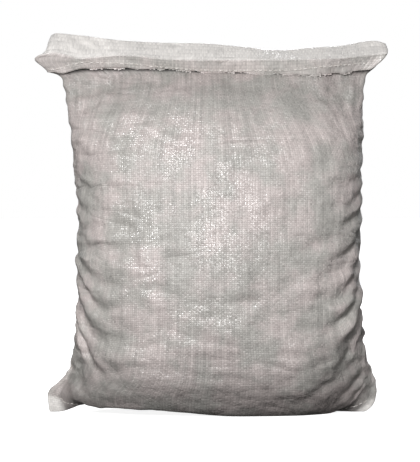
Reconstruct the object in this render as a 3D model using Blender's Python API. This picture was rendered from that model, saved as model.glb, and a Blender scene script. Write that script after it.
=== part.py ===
"""A full sack of pumice: woven plastic cloth, folded over and sewn shut at the top, standing on its base.

Metres, +Z up. The front faces -Y. The base rests at Z = 0, and the origin is on the base.
The filled sack is one solid. Each sewing thread that shows is a solid of its own.
"""

import math

import bmesh
import bpy
from mathutils import Vector, noise
from mathutils.bvhtree import BVHTree

# The sack
LAY_FLAT_WIDTH = 0.500  # the empty sack laid flat, so the hem is this wide
SEWN_HEIGHT = 0.489  # floor to the closing seam
BELLY_FRONT = 0.098  # how far the filling pushes the front out
BELLY_BACK = 0.089  # and the back
BELLY_SHIFT = 0.005  # the filled part sits a little to the right of the hem
CLOTH_EDGE = 0.0036  # two layers of cloth where the sides and corners pinch flat
BASE_ROUND = 2.8  # roundness of the section: 2 is an ellipse, more is boxier
BELLY_ROUND = 2.35
NECK_ROUND = 1.25
NECK_HEIGHT = 0.140  # the top stretch over which the section closes to a slit

# The hem: the mouth folded forward over itself
HEM_TURN_HEIGHT = 0.036  # seam to the folded top edge, at the middle
HEM_LAYERS = 0.0048  # thickness of the folded layers
HEM_TOP = 0.0026  # and at the folded top edge
HEM_LIP = 0.0050  # the flap hangs this far below the seam
HEM_LIP_STEP = 0.0022  # and stands this far off the neck
HEM_CREASE_AT = 0.40  # share of the hem's height where it bends
HEM_CREASE_OUT = 0.0130  # the bend stands this far in front of the seam
HEM_CREASE_LEFT = 2.1  # and this many times as far at the left end
HEM_CREASE_RIGHT = 0.5
HEM_TOP_BACK = 0.0060  # the top edge leans this far behind the seam
HEM_END_CURVE = 9  # the higher this is, the closer the hem's shaped ends keep to its two ends
HEM_SWAY = 0.0040  # the hem wanders this far from a straight line, seen from above
SWAY_STARTS = 0.370  # the sack begins to wander at this height

# The base and its corners
BASE_FRONT = 0.064  # the flat base reaches this far forward of the middle
BASE_BACK = 0.062
BASE_LIFT = 0.0100  # the left part of the base rounds up this far off the floor
LIFT_STARTS = -0.030  # from here leftward
LIFT_FULL = -0.130
TAIL_FOLD = 0.030  # the bottom seam's tail lies under the base, this far behind the middle
TAIL_WIDTH = 0.018  # seam to the tail's folded edge
CORNER_FIN = 0.034  # each bottom corner pinches out this far past the filling
CORNER_HEIGHT = 0.090  # and dies out at this height
CORNER_CURVE = 1.3  # the higher this is, the more hollow the corner's outline
CORNER_TIP = 0.012  # this much of each corner's tip stays down on the floor
FLAT_SHARE = 0.56  # share of the width over which the rows of cloth lie level
PINCH = 0.008  # a nip in the right side crease
PINCH_HEIGHT = 0.112
PINCH_SPAN = 0.012

# Sewing thread
THREAD = 0.0013  # thread diameter
THREAD_GAP = 0.0004  # clearance between thread and cloth
THREAD_GROOVE = 0.0030  # half width of the dent that the bottom thread lies in
THREAD_DENT = 0.0024  # and its depth
THREAD_SPAN = (0.74, 0.90)  # the bottom thread runs nearly straight between these shares, past a corner
CORNER_FROM = 0.165  # further out than this it has a point at every such step
CORNER_STEP = 0.0030
CORNER_GAP = 0.0008  # and there it keeps this far off the cloth
THREAD_END = 0.965  # the threads stop at this share of the half width

# Folds that run in from the side creases
FOLD = 0.0052
FOLD_PITCH = 0.031
FOLD_REACH = 0.105  # how far in they run
FOLD_FADE_LOW = 0.130  # full strength up to this height
FOLD_FADE_HIGH = 0.370
FOLD_LEAST = 0.30  # share of the strength that is left above
FOLD_BASE = 0.018  # no folds below this height
FOLD_WANDER = 0.75  # how far the folds stray from even steps, as a share of the pitch
FOLD_UNEVEN = 1.1  # how much their strength and reach vary
FOLD_DRIFT = 0.059  # height over which they stray
FOLD_CHANGE = 0.034  # height over which they vary
CREASE_SHARE = 0.45  # share of the strength at the side crease itself
CREASE_SPAN = 0.020

# Dents, tucks and the stones' lumps
LUMP = 0.0040
LUMP_SIZE = 0.085
SMALL_LUMP = 0.0018
SMALL_LUMP_SIZE = 0.036
TUCK = 0.0062  # a valley under each end of the hem
TUCK_SHARE = 0.80
TUCK_WIDTH = 0.085
TUCK_LENGTH = 0.085
TUCK_TOP = 0.010  # it ends this far below the seam
SMOOTH_BASE = 0.040  # nothing lifts the cloth at the floor, and everything does at this height
SMOOTH_NECK = 0.045  # nor does anything at the seam
# Each dent in the front: (x, z, half width, half height, depth)
DENTS = (
    (-0.050, 0.228, 0.042, 0.024, 0.0050), (0.060, 0.158, 0.085, 0.018, 0.0044),
    (-0.030, 0.372, 0.085, 0.022, 0.0046), (-0.125, 0.300, 0.028, 0.050, 0.0032),
    (0.120, 0.235, 0.032, 0.040, 0.0034), (-0.110, 0.120, 0.045, 0.020, 0.0040),
    (0.020, 0.085, 0.060, 0.014, 0.0036),
)

# Mesh
COLUMNS = 36  # faces across each panel
COLUMN_PULL = 0.55  # how strongly the columns crowd toward the side creases
WALL_ROWS = 50
FRONT_BASE_ROWS = 3
PATH_STEPS = 400
CLEAR_ROUNDS = 60
DENT_ROW = 2  # the first of the two rows at the bottom of the thread's dent
HEM_SHARES = (0.0, 0.16, 0.32, 0.44, 0.62, 0.84, 1.0)  # the hem's rows, from the seam to the top edge
SHARP_ANGLE = 50  # edges that turn more than this many degrees stay sharp

HALF = LAY_FLAT_WIDTH / 2

# Each side's outline: (share of the sewn height, share of the half width).
# The left corner has a straight tip, and the right one is round.
LEFT_OUTLINE = (
    (0.000, 0.950), (0.050, 0.954), (0.082, 0.892), (0.116, 0.838), (0.200, 0.806), (0.360, 0.787),
    (0.560, 0.790), (0.720, 0.803), (0.860, 0.836), (0.960, 0.861), (0.985, 0.884), (1.000, 0.950),
)
RIGHT_OUTLINE = (
    (0.000, 0.862), (0.020, 0.906), (0.060, 0.926), (0.105, 0.912), (0.150, 0.880), (0.220, 0.838),
    (0.360, 0.826), (0.560, 0.830), (0.800, 0.841), (0.940, 0.846), (0.985, 0.862), (1.000, 0.885),
)
# Each end of the hem: (share of the hem's height, share of the half width)
LEFT_HEM_END = ((0.00, 0.950), (0.10, 0.985), (0.26, 1.020), (0.44, 0.960), (0.75, 0.944), (1.00, 0.926))
RIGHT_HEM_END = ((0.00, 0.885), (0.20, 0.930), (0.45, 0.970), (0.70, 0.981), (1.00, 0.966))
# The top edge: (share of the half width, height above or below the middle)
TOP_EDGE = (
    (-1.00, 0.0165), (-0.78, 0.0120), (-0.55, 0.0050), (-0.30, 0.0020), (-0.05, 0.0010), (0.20, -0.0040),
    (0.42, -0.0085), (0.62, -0.0050), (0.80, -0.0020), (0.93, 0.0045), (1.00, 0.0050),
)
# The filling's outline from the side: (share of the sewn height, share of the belly)
BELLY_OUTLINE = (
    (0.000, 0.63), (0.012, 0.76), (0.045, 0.89), (0.110, 0.97), (0.220, 1.00), (0.420, 0.985),
    (0.600, 0.92), (0.730, 0.815), (0.840, 0.64), (0.920, 0.42), (0.970, 0.19), (1.000, 0.045),
)


def smooth_step(low, high, value):
    """0 at low, 1 at high, and an even slope-in and slope-out between. low may be the larger one."""
    share = min(1.0, max(0.0, (value - low) / (high - low)))
    return share * share * (3 - 2 * share)


def mix(start, end, share):
    return start + (end - start) * share


def on_curve(points, value):
    """The height at value of a smooth curve through (value, height) points."""
    last = len(points) - 1
    value = min(max(value, points[0][0]), points[last][0])
    span = next(i for i in range(last) if value <= points[i + 1][0])
    (x0, y0), (x1, y1) = points[span], points[span + 1]
    before, after = points[max(span - 1, 0)], points[min(span + 2, last)]
    slope_in = (y1 - before[1]) / (x1 - before[0])
    slope_out = (after[1] - y0) / (after[0] - x0)
    width = x1 - x0
    t = (value - x0) / width
    return (
        (1 + 2 * t) * (1 - t) ** 2 * y0
        + t * (1 - t) ** 2 * width * slope_in
        + t * t * (3 - 2 * t) * y1
        - t * t * (1 - t) * width * slope_out
    )


def evenly(path, count):
    """count + 1 points at equal distances along a path of many points."""
    lengths = [0.0]
    for a, b in zip(path, path[1:]):
        lengths.append(lengths[-1] + math.dist(a, b))
    found = []
    for i in range(count + 1):
        wanted = lengths[-1] * i / count
        span = next((k for k in range(1, len(path)) if lengths[k] >= wanted), len(path) - 1)
        stretch = lengths[span] - lengths[span - 1]
        share = (wanted - lengths[span - 1]) / stretch
        a, b = path[span - 1], path[span]
        found.append((mix(a[0], b[0], share), mix(a[1], b[1], share)))
    return found


class Row:
    """One row of the sack's lattice: where it runs at the middle, and its height at the side crease."""

    def __init__(self, zone, depth, height, side_height, beside=0.0, dent=0.0):
        self.zone = zone
        self.depth = depth
        self.height = height
        self.side_height = side_height
        self.beside = beside
        self.dent = dent


def base_rows(side):
    """The rows that lie under the sack. On the front panel four of them shape the dent for the thread."""
    if side > 0:
        front = base_rows(-1)
        depths = [mix(TAIL_FOLD, BASE_BACK, i / (len(front) - 1)) for i in range(len(front))]
        return [Row("base", depth, 0.0, row.side_height) for depth, row in zip(depths, front)]
    rows = [Row("base", TAIL_FOLD, 0.0, 0.0)]
    seam = TAIL_FOLD - TAIL_WIDTH
    lip, floor = THREAD_GROOVE, THREAD_GROOVE / 2
    for beside, dent in ((lip, 0.0), (floor, THREAD_DENT), (-floor, THREAD_DENT), (-lip, 0.0)):
        rows.append(Row("base", seam, 0.0, TAIL_WIDTH - beside, beside, dent))
    for i in range(1, FRONT_BASE_ROWS + 1):
        depth = mix(seam - lip, -BASE_FRONT, i / FRONT_BASE_ROWS)
        rows.append(Row("base", depth, 0.0, TAIL_FOLD - depth))
    return rows


def panel_rows(side):
    """The rows of one panel, from the bottom edge up to the top of the hem. side is -1 for the front."""
    belly = BELLY_FRONT if side < 0 else BELLY_BACK
    rows = base_rows(side)
    crease_start = rows[-1].side_height
    neck = SEWN_HEIGHT - HEM_LIP
    heights = [neck * i / PATH_STEPS for i in range(PATH_STEPS + 1)]
    outline = [(on_curve(BELLY_OUTLINE, z / SEWN_HEIGHT) * belly, z) for z in heights]
    for step, (depth, height) in enumerate(evenly(outline, WALL_ROWS)[1:], start=1):
        side_height = mix(crease_start, neck, step / WALL_ROWS)
        rows.append(Row("wall", side * depth, height, side_height))
    rows.append(Row("lip", rows[-1].depth, neck, neck))
    rows += [Row("hem", share, 0.0, 0.0) for share in HEM_SHARES]
    return rows


def reach(side_share, height):
    """How far the side crease stands from the middle at a height. side_share is negative on the left."""
    outline = LEFT_OUTLINE if side_share < 0 else RIGHT_OUTLINE
    return HALF * on_curve(outline, height / SEWN_HEIGHT)


def sway(share, height):
    """How far the neck and hem wander forward or back."""
    wave = math.sin(7.2 * share + 0.8) + 0.5 * math.sin(16 * share)
    return HEM_SWAY * wave * smooth_step(SWAY_STARTS, SEWN_HEIGHT, height)


def neck_share(height):
    """0 on the filling, growing to 1 where the neck is closed."""
    return smooth_step(SEWN_HEIGHT - NECK_HEIGHT, SEWN_HEIGHT, height)


def fin_width(height):
    """How far a bottom corner pinches out past the filling."""
    return CORNER_FIN * max(0.0, 1 - height / CORNER_HEIGHT) ** CORNER_CURVE


def bulge(width_share, height):
    """Depth of the section, as a share of its depth at the middle. width_share is 1 at the side."""
    full = mix(BASE_ROUND, BELLY_ROUND, smooth_step(0.0, CORNER_HEIGHT, height))
    roundness = mix(full, NECK_ROUND, neck_share(height))
    return max(0.0, 1 - width_share**roundness) ** (1 / roundness)


def base_lift(x, height):
    """The left part of the base rounds up off the floor. The tip of its corner stays down."""
    tip = CORNER_TIP - reach(-1, 0.0)
    left = smooth_step(LIFT_STARTS, LIFT_FULL, x) * smooth_step(tip, tip + CORNER_FIN, x)
    return BASE_LIFT * left * smooth_step(CORNER_HEIGHT, 0.0, height)


def place_on_filling(share, row, side):
    """Where a point of the base or wall lies. share runs from -1 at the left crease to 1 at the right."""
    across = abs(share)
    to_side = smooth_step(FLAT_SHARE, 1.0, across)
    height = mix(row.height, row.side_height, to_side)
    outer = reach(share, height)
    fin = fin_width(height)
    body_share = 1 - fin / HALF
    along = min(1.0, across / body_share)
    width_share = mix(math.sin(along * math.pi / 2), along, neck_share(height))
    x = (outer - fin) * width_share
    if across > body_share:
        x += fin * (across - body_share) / (1 - body_share)
    x = math.copysign(x, share)
    x += BELLY_SHIFT * smooth_step(0.0, CORNER_HEIGHT, height) * (1 - neck_share(height)) * (1 - to_side)
    y = row.depth * bulge(width_share, height) + row.beside * (1 - to_side)
    y += side * CLOTH_EDGE / 2 * to_side + sway(share, height)
    z = height + row.dent * (1 - to_side) + base_lift(x, height)
    return Vector((x, y, z))


def place_on_hem(share, row, side):
    """Where a point of the folded hem lies. The front's lower edge is the flap's lip."""
    ends = LEFT_HEM_END if share < 0 else RIGHT_HEM_END
    rise = row.depth
    plain = on_curve(ends, 0.0)
    x = HALF * (plain * abs(share) + (on_curve(ends, rise) - plain) * abs(share) ** HEM_END_CURVE)
    top = HEM_TURN_HEIGHT + on_curve(TOP_EDGE, share)
    at_end = smooth_step(TUCK_SHARE, 1.0, abs(share))
    ear = mix(1.0, HEM_CREASE_LEFT if share < 0 else HEM_CREASE_RIGHT, at_end)
    if rise < HEM_CREASE_AT:
        lean = -HEM_CREASE_OUT * ear * math.sin(rise / HEM_CREASE_AT * math.pi / 2)
    else:
        past = (rise - HEM_CREASE_AT) / (1 - HEM_CREASE_AT)
        lean = mix(-HEM_CREASE_OUT * ear, HEM_TOP_BACK, past)
    layers = mix(HEM_LAYERS, HEM_TOP, smooth_step(HEM_CREASE_AT, 1.0, rise) ** 3)
    y = lean + side * layers / 2 + sway(share, SEWN_HEIGHT)
    return Vector((math.copysign(x, share), y, SEWN_HEIGHT + rise * top))


def place_on_lip(share, row, side):
    """The flap's lower edge, which stands off the neck at the front. The back has only the neck."""
    neck = place_on_filling(share, row, side)
    seam = place_on_hem(share, Row("hem", 0.0, 0.0, 0.0), side)
    if side > 0:
        return (neck + seam) / 2
    return Vector((seam.x, neck.y - HEM_LIP_STEP, neck.z))


def place(share, row, side):
    zones = {"hem": place_on_hem, "lip": place_on_lip}
    return zones.get(row.zone, place_on_filling)(share, row, side)


def chance(seed, x, z):
    """A smooth, repeatable chance value from about -1 to 1. It changes over steps of 1 in x or z."""
    return noise.noise(Vector((x, seed, z)))


def side_folds(point, share, row):
    """The folds that run in from the side crease. They follow the rows, which sink toward the middle."""
    inward = max(0.0, reach(share, point.z) - abs(point.x))
    hand = math.copysign(1.0, share)
    up = row.side_height
    stray = FOLD_WANDER * chance(2.3 * hand, point.x / FOLD_DRIFT / 2, up / FOLD_DRIFT)
    ridge = math.cos(2 * math.pi * (up / FOLD_PITCH + stray + hand / 4))
    uneven = 1 + FOLD_UNEVEN * chance(5.1 * hand, point.y / FOLD_DRIFT, up / FOLD_CHANGE)
    longer = 1 + FOLD_UNEVEN * chance(9.7 * hand, point.y / FOLD_DRIFT, up / FOLD_CHANGE)
    near_side = smooth_step(FOLD_REACH * longer, CREASE_SPAN / 2, inward)
    crease = mix(CREASE_SHARE, 1.0, smooth_step(0.0, CREASE_SPAN, inward))
    height = mix(row.height, up, 0.5)
    strength = mix(1.0, FOLD_LEAST, smooth_step(FOLD_FADE_LOW, FOLD_FADE_HIGH, height))
    clear_of_fin = smooth_step(CORNER_HEIGHT / 2, CORNER_HEIGHT, point.z + 2 * inward)
    clear_of_base = smooth_step(FOLD_BASE, CORNER_HEIGHT, point.z)
    return FOLD * ridge * uneven * near_side * crease * strength * clear_of_fin * clear_of_base


def dents(point, share, side):
    """Dents in the front, the tuck under each end of the hem, and the lumps of the stones."""
    lumps = LUMP * chance(2.0 * side, point.x / LUMP_SIZE, point.z / LUMP_SIZE)
    lumps += SMALL_LUMP * chance(8.0 * side, point.x / SMALL_LUMP_SIZE, point.z / SMALL_LUMP_SIZE)
    below = SEWN_HEIGHT - point.z
    tuck = TUCK * math.exp(-(((abs(share) - TUCK_SHARE) / TUCK_WIDTH) ** 2))
    tuck *= smooth_step(TUCK_LENGTH, TUCK_LENGTH / 2, below) * smooth_step(TUCK_TOP, 3 * TUCK_TOP, below)
    pressed = 0.0
    if side < 0:
        for x, z, width, height, depth in DENTS:
            pressed += depth * math.exp(-(((point.x - x) / width) ** 2) - ((point.z - z) / height) ** 2)
    return lumps * smooth_step(1.0, 1 - TUCK_WIDTH, abs(share)) - tuck - pressed


def cloth_lift(point, share, row, side):
    """How far folds, dents and lumps lift the cloth at a point of the filled part."""
    above_base = smooth_step(0.0, SMOOTH_BASE, point.z)
    below_neck = smooth_step(SEWN_HEIGHT, SEWN_HEIGHT - SMOOTH_NECK, point.z)
    return (side_folds(point, share, row) + dents(point, share, side)) * above_base * below_neck


def lattice(columns, rows):
    """A unit block, cut into columns across X and rows up Z, one cell deep in Y."""
    mesh = bmesh.new()
    bmesh.ops.create_cube(mesh, size=1.0)
    for axis, count in ((0, columns), (2, rows)):
        along = [e for e in mesh.edges if abs(e.verts[0].co[axis] - e.verts[1].co[axis]) > 0.5]
        bmesh.ops.subdivide_edges(mesh, edges=along, cuts=count - 1, use_grid_fill=True)
    return mesh


def pinch_side(point, share):
    """Draws a small nip out of the right side crease."""
    if share < 1:
        return
    point.x += PINCH * smooth_step(PINCH_SPAN, 0.0, abs(point.z - PINCH_HEIGHT))


def crowd(share):
    """Moves an even share of the width toward the nearer side, so that columns crowd at the creases."""
    return mix(share, math.sin(share * math.pi / 2), COLUMN_PULL)


def sack_mesh(rows):
    """The filled sack, shaped from a block that has the cloth's own rows and columns."""
    count = len(rows[-1]) - 1
    shape = lattice(COLUMNS, count)
    lifted = []
    for vertex in shape.verts:
        share = crowd(2 * vertex.co.x)
        side = 1 if vertex.co.y > 0 else -1
        row = rows[side][round((vertex.co.z + 0.5) * count)]
        vertex.co = place(share, row, side)
        if row.zone == "wall":
            pinch_side(vertex.co, share)
            lifted.append((vertex, cloth_lift(vertex.co, share, row, side)))
    shape.normal_update()
    moves = [(vertex, vertex.normal * lift) for vertex, lift in lifted]
    for vertex, move in moves:
        vertex.co += move
    bmesh.ops.recalc_face_normals(shape, faces=shape.faces)
    mesh = bpy.data.meshes.new("sack")
    shape.to_mesh(mesh)
    shape.free()
    mesh.shade_smooth()
    mesh.set_sharp_from_angle(angle=math.radians(SHARP_ANGLE))
    return mesh


def thread_curve(name, points):
    """A sewing thread as a round tube through the points."""
    curve = bpy.data.curves.new(name, "CURVE")
    curve.dimensions = "3D"
    curve.bevel_depth = THREAD / 2
    curve.bevel_resolution = 2
    curve.use_fill_caps = True
    spline = curve.splines.new("POLY")
    spline.points.add(len(points) - 1)
    for spot, point in zip(spline.points, points):
        spot.co = (*point, 1.0)
    return curve


def thread_shares(zone):
    """The columns that a thread passes, from one end of its seam to the other."""
    shares = [crowd(2 * i / COLUMNS - 1) for i in range(COLUMNS + 1)]
    if zone == "base":
        shares = [share for share in shares if not THREAD_SPAN[0] < abs(share) < THREAD_SPAN[1]]
    return [-THREAD_END] + [share for share in shares if abs(share) < THREAD_END] + [THREAD_END]


def thread_points(rows, side, low):
    """A seam's thread, just off the cloth, midway between the row numbered low and the next one."""
    shares = thread_shares(rows[side][low].zone)
    lines = [[place(share, row, side) for share in shares] for row in rows[side][low : low + 2]]
    middle = [(below + above) / 2 for below, above in zip(*lines)]
    points = []
    for i, (below, above) in enumerate(zip(*lines)):
        ahead, behind = middle[min(i + 1, len(middle) - 1)], middle[max(i - 1, 0)]
        outward = (above - below).cross(ahead - behind).normalized() * side
        points.append(middle[i] + outward * (THREAD / 2 + THREAD_GAP))
    return points


def split_at_corners(points):
    """Adds points where the bottom thread runs into the sack's corners."""
    found = []
    for a, b in zip(points, points[1:]):
        outer = max(abs(a.x), abs(b.x)) > CORNER_FROM
        parts = math.ceil((b - a).length / CORNER_STEP) if outer else 1
        found += [a.lerp(b, i / parts) for i in range(parts)]
    return found + points[-1:]


def keep_clear(points, cloth):
    """Moves the corner points of a thread off the cloth, many times over, until the thread lies clear."""
    tree = BVHTree.FromPolygons([v.co for v in cloth.vertices], [p.vertices for p in cloth.polygons])
    for _ in range(CLEAR_ROUNDS):
        for i, point in enumerate(points):
            if abs(point.x) < CORNER_FROM:
                continue
            spot, normal, _, _ = tree.find_nearest(point)
            short = THREAD / 2 + CORNER_GAP - (point - spot).dot(normal)
            points[i] = point + normal * max(0.0, short)
    return points


def material(name, colour, roughness):
    made = bpy.data.materials.new(name)
    made.use_nodes = True
    shader = made.node_tree.nodes["Principled BSDF"]
    shader.inputs["Base Color"].default_value = (*colour, 1.0)
    shader.inputs["Roughness"].default_value = roughness
    shader.inputs["Metallic"].default_value = 0.0
    return made


def add(collection, name, data, finish):
    data.materials.append(finish)
    made = bpy.data.objects.new(name, data)
    collection.objects.link(made)
    return made


def main():
    for old in list(bpy.data.objects):
        bpy.data.objects.remove(old)
    sack = bpy.data.collections.new("pumice_sack")
    bpy.context.scene.collection.children.link(sack)
    rows = {side: panel_rows(side) for side in (-1, 1)}
    cloth = material("woven_polypropylene", (0.47, 0.45, 0.43), 0.45)
    thread = material("polyester_thread", (0.75, 0.73, 0.70), 0.70)
    filled = add(sack, "filled_sack", sack_mesh(rows), cloth)
    top = len(rows[1]) - len(HEM_SHARES)
    for name, side, low in (
        ("top_seam_front_thread", -1, top),
        ("top_seam_back_thread", 1, top),
        ("bottom_seam_thread", -1, DENT_ROW),
    ):
        points = thread_points(rows, side, low)
        if low == DENT_ROW:
            points = keep_clear(split_at_corners(points), filled.data)
        add(sack, name, thread_curve(name, points), thread)


main()
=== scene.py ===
"""Looks of a full sack of pumice: woven tape cloth, folded hem, chain stitched seams, studio.

Metres, +Z up, the front faces -Y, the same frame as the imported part. Across the sack, share runs
from -1 at the left side crease to 1 at the right one. Side is -1 for the front panel and 1 for the
back. On the flap, along is 0 at the raw edge, 1 at the stitches, 2 at the crease and 3 at the top.
"""

import math

import bmesh
import bpy
import numpy as np
from mathutils import Matrix, Vector, noise
from mathutils.bvhtree import BVHTree


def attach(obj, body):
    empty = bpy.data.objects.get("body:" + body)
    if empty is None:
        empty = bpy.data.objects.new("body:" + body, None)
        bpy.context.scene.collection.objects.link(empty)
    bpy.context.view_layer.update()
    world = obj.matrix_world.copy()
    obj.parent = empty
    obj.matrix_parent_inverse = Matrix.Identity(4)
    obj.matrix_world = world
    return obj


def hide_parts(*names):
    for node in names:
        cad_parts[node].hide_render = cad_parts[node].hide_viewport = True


# The sack's body
HALF = 0.250  # half the width of the cloth laid flat
SEWN_HEIGHT = 0.489  # where the front and back panels meet at the mouth
BELLY_FRONT = 0.098  # how far the filling pushes each panel out
BELLY_BACK = 0.089
BELLY_SHIFT = 0.005  # the belly stands this far right of the mouth
CLOTH_EDGE = 0.0024  # doubled cloth at the side creases
BASE_ROUND = 2.05  # powers of the rounding across the width: 2 is an ellipse, more is squarer
BELLY_ROUND = 2.35
NECK_ROUND = 1.25
NECK_HEIGHT = 0.140  # the neck closes over this height
NECK_END = 0.006  # the filled part ends this far below the seam
NECK_BACK = 0.0045  # and its back panel this far behind it

# The base and its corners. The bottom seam's tail is folded under, behind the middle.
BASE_FRONT = 0.057
BASE_BACK = 0.062
BASE_LIFT = 0.0108  # the left part rounds up this much
LIFT_STARTS = 0.035  # from this x
LIFT_FULL = -0.110  # to this x
LIFT_ENDS = 1.6  # and comes down again this many fin widths from the left tip
TAIL_FOLD = 0.030
TAIL_WIDTH = 0.018
TAIL_EDGE = 0.0016
TAIL_PAST = 0.004  # the tail's look fades out from just inside its seam to just past it
TAIL_INSIDE = 0.002
GROOVE = 0.0030  # half width of the groove along the bottom seam
GROOVE_DEPTH = 0.0018
CORNER_FIN_LEFT = 0.027  # width of the empty, flat part of each bottom corner
CORNER_FIN_RIGHT = 0.017
CORNER_HEIGHT = 0.080
CORNER_CURVE = 1.3
CORNER_TIP = 0.012
TIP_LIFT = 0.0055  # the seam climbs this much toward the left tip
TIP_SHARE = 0.86
CORNER_TAPER = 2.0  # how steeply the filling thins toward a bottom corner
TAPER_INNER = 0.45  # shares of the width between which the taper takes over
TAPER_OUTER = 0.9
TAPER_LOW = 0.030  # the taper is whole up to this height
TAPER_TOP = 0.150  # and gone at this one
TAPER_LEFT = 0.6  # share of it that the left corner has
UNDERCUT = 0.15  # share of its depth that the lower front draws in
UNDERCUT_TOP = 0.046
UNDERCUT_STARTS = -0.25  # shares of the width where it starts and where it is whole
UNDERCUT_FULL = 0.05
FLAT_SHARE = 0.56  # past this share of the width the rows climb to the side crease
PINCH = 0.008  # a pinched point in the right side crease
PINCH_HEIGHT = 0.112
PINCH_SPAN = 0.012

# The hem
HEM_SWAY = 0.0040
SWAY_STARTS = 0.370
SWAY_WAVES = ((1.0, 7.2, 0.8), (0.5, 16, 0.0))  # strength, pace across the width, start
HEM_END_CURVE = 9  # how late along the hem its ends flare
HEM_CLOTH = 0.045  # cloth from the neck to the hem's top
HEM_LAYERS = 0.0044
HEM_TOP = 0.0024
LAYERS_THIN = (1.8, 3.0)  # where along the flap they thin
LEAN_CURVE = 0.85
FLAP_EDGE = 0.0011
FLAP_GAP = 0.0040  # the slit behind the flap, at the raw edge and at its top
SLIT_TOP = 0.0006
SLIT_DEEP = 0.7  # how far along the flap it goes up
SLIT_END = 0.4  # share of the gap left at the hem's ends
SLIT_BEFORE = 0.10  # it narrows from this share before the tuck to this one past it
SLIT_PAST = 0.05
BACK_TURN = 0.25  # share of the hem's back rows in which the neck turns up into it
TOP_CORNER = 0.0040
TOP_CORNER_SHARE = 0.965
JAG = 0.0024  # the raw edge's unevenness
JAG_SIZE = 0.0130
JAG_TOP = 0.2
HEM_SLANT = math.radians(28)
HEM_CREASE = 0.0030
HEM_CREASE_PITCH = 0.024
HEM_CREASE_STRAY = 1.1
HEM_CREASE_DRIFT = 0.05
HEM_CREASE_LEFT = (-0.35, -0.75)
HEM_CREASE_LEAST = 0.25
HEM_CREASE_RISE = (1.9, 2.3)  # where along the flap they come in and die out
HEM_CREASE_FADE = (3.0, 2.7)
HEM_LUMP = 0.0012
HEM_LUMP_LENGTH = 0.030
HEM_LUMP_HEIGHT = 0.012
HEM_LUMP_RISE = (1.0, 1.4)

# The tapes, and the loose ends of those that were cut at the raw edge
TAPE_WIDTH = 0.0028
TAPE_HEIGHT = 0.00265
FRAY_LEFT = -0.205
FRAY_RIGHT = 0.222
FRAY_SHORT = 0.0008
FRAY_LONG = 0.0030
FRAY_THICKNESS = 0.0003
FRAY_WIDTH = 0.86  # share of a tape's width
FRAY_ROOT = 0.002  # length hidden in the flap's edge
FRAY_PATCHES = (-0.5, 0.1)  # chance between which a stretch of the edge goes from whole to frayed
FRAY_TURN = 0.5  # radians
FRAY_LEAN = 0.8
FRAY_HANG = 0.15
# Slice of the noise, step a tape and place in the slice
FRAY_CHANCES = {
    "length": (3.0, 0.71, 0.3), "patches": (6.0, 0.13, 0.7), "turn": (5.0, 0.9, 0.2), "lean": (7.0, 0.8, 0.4),
}

# Stones behind the cloth, dust on it, and painted shade: on the flap below its crease, round the base,
# at the floor, under the hem and in the slit. Pairs are where a share starts and where it is whole.
# Painted shade on the flap's face below its crease, drawn as a share of the stones' grey
FLAP_PAINTED_SHADE = 0.72
FLAP_SHADE_CREASE = (2.04, 1.95)
NECK_BACKED = (0.35, 0.15)
FIN_EDGE = (-0.006, 0.006)
FIN_EMPTY = 0.1  # share of the stones' tone that a corner lacks, above the tail and on it
TAIL_EMPTY = 0.9
# Dust and painted shade round the base, painted contact shade at the floor, painted shade under the hem, and
# a painted shadow in the slit
DUST_AND_SHADE_LOW = 0.115
NECK_SHADE = 0.5
NECK_SHADE_SPAN = 0.090
NECK_SHADE_TOP = 0.010
FLOOR_CONTACT_SHADE = 0.7
FLOOR_SHADE_TOP = 0.015
FLOOR_SHADE_FULL = 0.002
SLIT_SHADOW = 2.2
LESS_DARKENED_EDGE = (-0.004, 0.010)
LESS_DARKENED_CORNER = 0.55

# Folds that run in from the side creases
FOLD = 0.0052
FOLD_PITCH = 0.031
FOLD_REACH = 0.105
FOLD_FADE_LOW = 0.130
FOLD_FADE_HIGH = 0.370
FOLD_LEAST = 0.30
FOLD_BASE = 0.018
FOLD_CLEAR = 0.075
FOLD_WANDER = 0.75
FOLD_UNEVEN = 1.1
FOLD_DRIFT = 0.059
FOLD_CHANGE = 0.034
FOLD_ARCH = 0.5  # share of the side crease's own height in the height that sets their strength
CREASE_SHARE = 0.45
CREASE_SPAN = 0.020

# Lumps and pressed creases
LUMP = 0.0040
LUMP_SIZE = 0.085
SMALL_LUMP = 0.0018
SMALL_LUMP_SIZE = 0.036
STONE = 0.0011
STONE_SIZE = 0.013
STONE_COARSE = 0.45  # a coarser layer of lumps: its scale, strength and place in the noise
STONE_COARSE_SHARE = 0.6
STONE_PLACE = Vector((7.0, 3.0, 1.0))
CRINKLE = 0.0020
CRINKLE_LONG = 0.050
CRINKLE_HIGH = 0.017
CRINKLE_SLANT = 0.09
CRINKLE_PLACE = 5.0
CRINKLE_EDGE = 0.35
CRINKLE_LEAST = 0.35
CRINKLE_SIDE = (0.06, 0.20)
CRINKLE_BASE = (0.14, 0.05)
CRINKLE_LOW = 0.5
STONE_FLOOR = (0.002, 0.012)
BUCKLE = 0.0022  # small first buckles, which the cloth simulation works on
BUCKLE_SIZE = 0.014
BUCKLE_LENGTH = 1.6
BUCKLE_LEAST = 0.4
BUCKLE_SIDE = (0.35, 1.0)
PRESSED_MOST = 0.45  # share of the half depth there, so that front and back never meet
PRESSED_SIDE = 0.15
PRESSED_CLEAR = 0.002
VALLEY = 1.35  # a pressed crease is a valley less wider lips
VALLEY_LIPS = 0.35
LIP_WIDTH = 2.1
VALLEY_REACH = 4
VALLEY_FADE = 0.35
TUCK = 0.0062  # the tuck under each end of the hem
TUCK_SHARE = 0.80
TUCK_WIDTH = 0.085
TUCK_LENGTH = 0.085
TUCK_TOP = 0.010
SMOOTH_BASE = 0.040
SMOOTH_NECK = 0.026
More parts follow.
